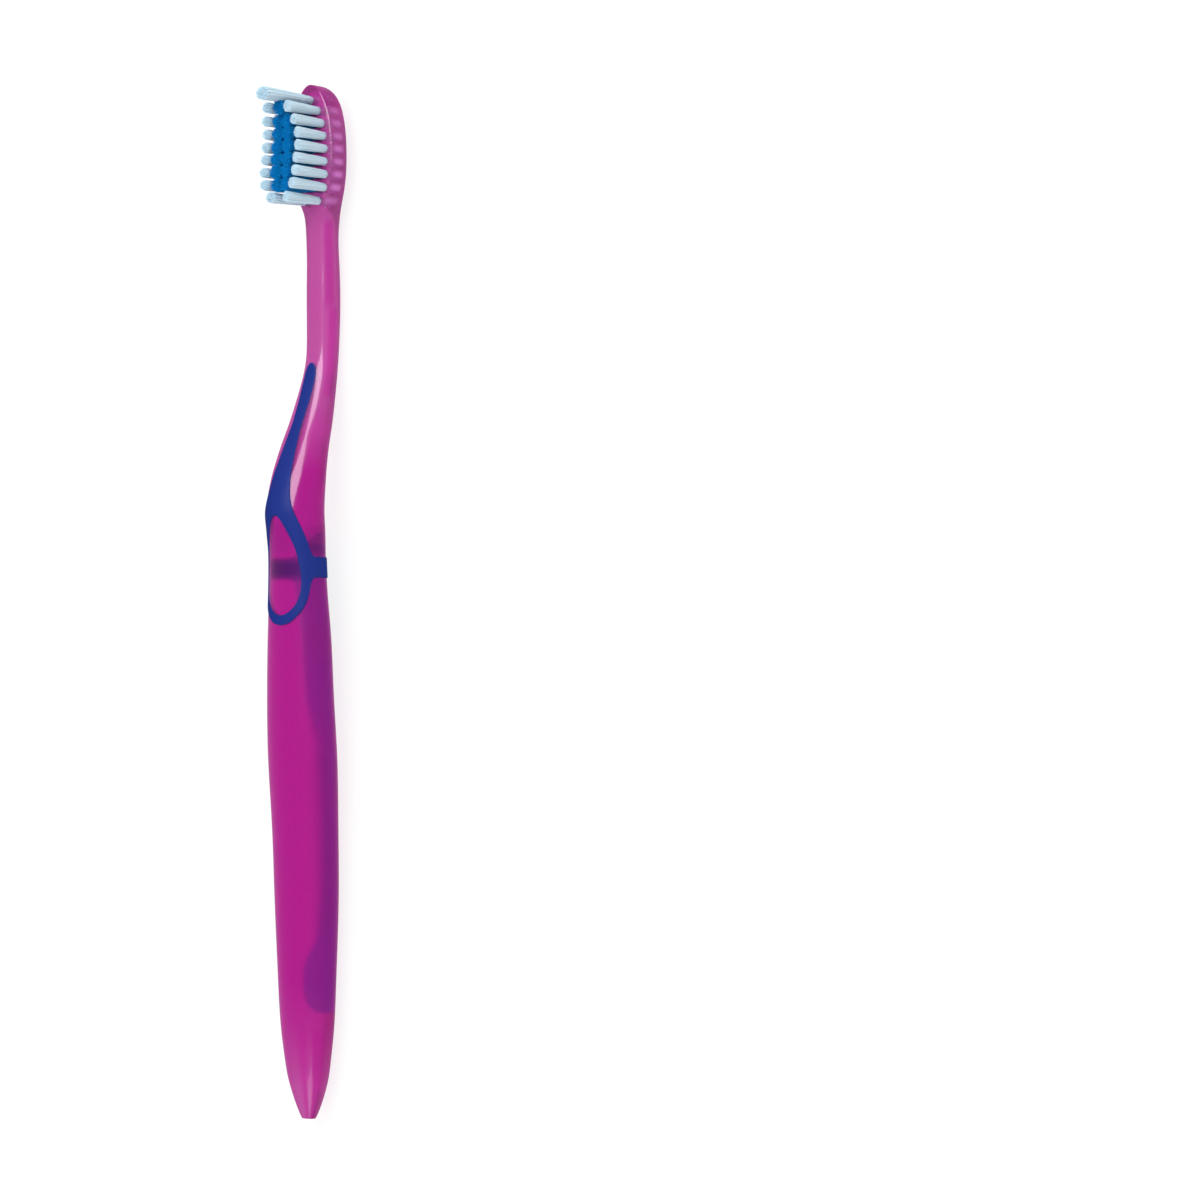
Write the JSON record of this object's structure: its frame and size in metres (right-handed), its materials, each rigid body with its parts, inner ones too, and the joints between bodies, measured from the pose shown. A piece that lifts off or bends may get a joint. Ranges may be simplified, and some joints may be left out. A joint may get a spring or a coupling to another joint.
{
  "type": "manual toothbrush",
  "caption": "Manual toothbrush: a clear moulded handle with a soft over-moulded thumb ring and back pad, a slim neck and an oval head of trimmed tufts.",
  "frame": {"origin": "centre of the bounding box at the height of the surface that the brush lies on", "axes": "+X runs from the butt to the tip of the head, +Z is the side that the bristles stand on, and the brush is symmetric left and right across Y"},
  "size_m": [0.185, 0.0138, 0.0194],
  "materials": {
    "clear_plastic": "clear magenta, polished",
    "soft_rubber": "satin navy",
    "white_bristle": "translucent nylon",
    "blue_bristle": "translucent nylon",
    "anchor_metal": "drawn wire"
  },
  "bodies": {
    "root": {"handle": "clear_plastic", "soft_grip": "soft_rubber", "anchor_wires": "anchor_metal", "tuft_tip": "white_bristle", "tuft_tip_blue": "blue_bristle", "tuft_outer_left_1": "white_bristle", "tuft_outer_left_2": "white_bristle", "tuft_outer_left_3": "white_bristle", "tuft_outer_left_4": "white_bristle", "tuft_outer_left_5": "white_bristle", "tuft_outer_left_6": "white_bristle", "tuft_outer_left_7": "white_bristle", "tuft_outer_left_8": "white_bristle", "tuft_outer_right_1": "white_bristle", "tuft_outer_right_2": "white_bristle", "tuft_outer_right_3": "white_bristle", "tuft_outer_right_4": "white_bristle", "tuft_outer_right_5": "white_bristle", "tuft_outer_right_6": "white_bristle", "tuft_outer_right_7": "white_bristle", "tuft_outer_right_8": "white_bristle", "tuft_inner_left_1": "blue_bristle", "tuft_inner_left_2": "blue_bristle", "tuft_inner_left_3": "blue_bristle", "tuft_inner_left_4": "blue_bristle", "tuft_inner_left_5": "blue_bristle", "tuft_inner_left_6": "blue_bristle", "tuft_inner_right_1": "blue_bristle", "tuft_inner_right_2": "blue_bristle", "tuft_inner_right_3": "blue_bristle", "tuft_inner_right_4": "blue_bristle", "tuft_inner_right_5": "blue_bristle", "tuft_inner_right_6": "blue_bristle"}
  },
  "joints": []
}
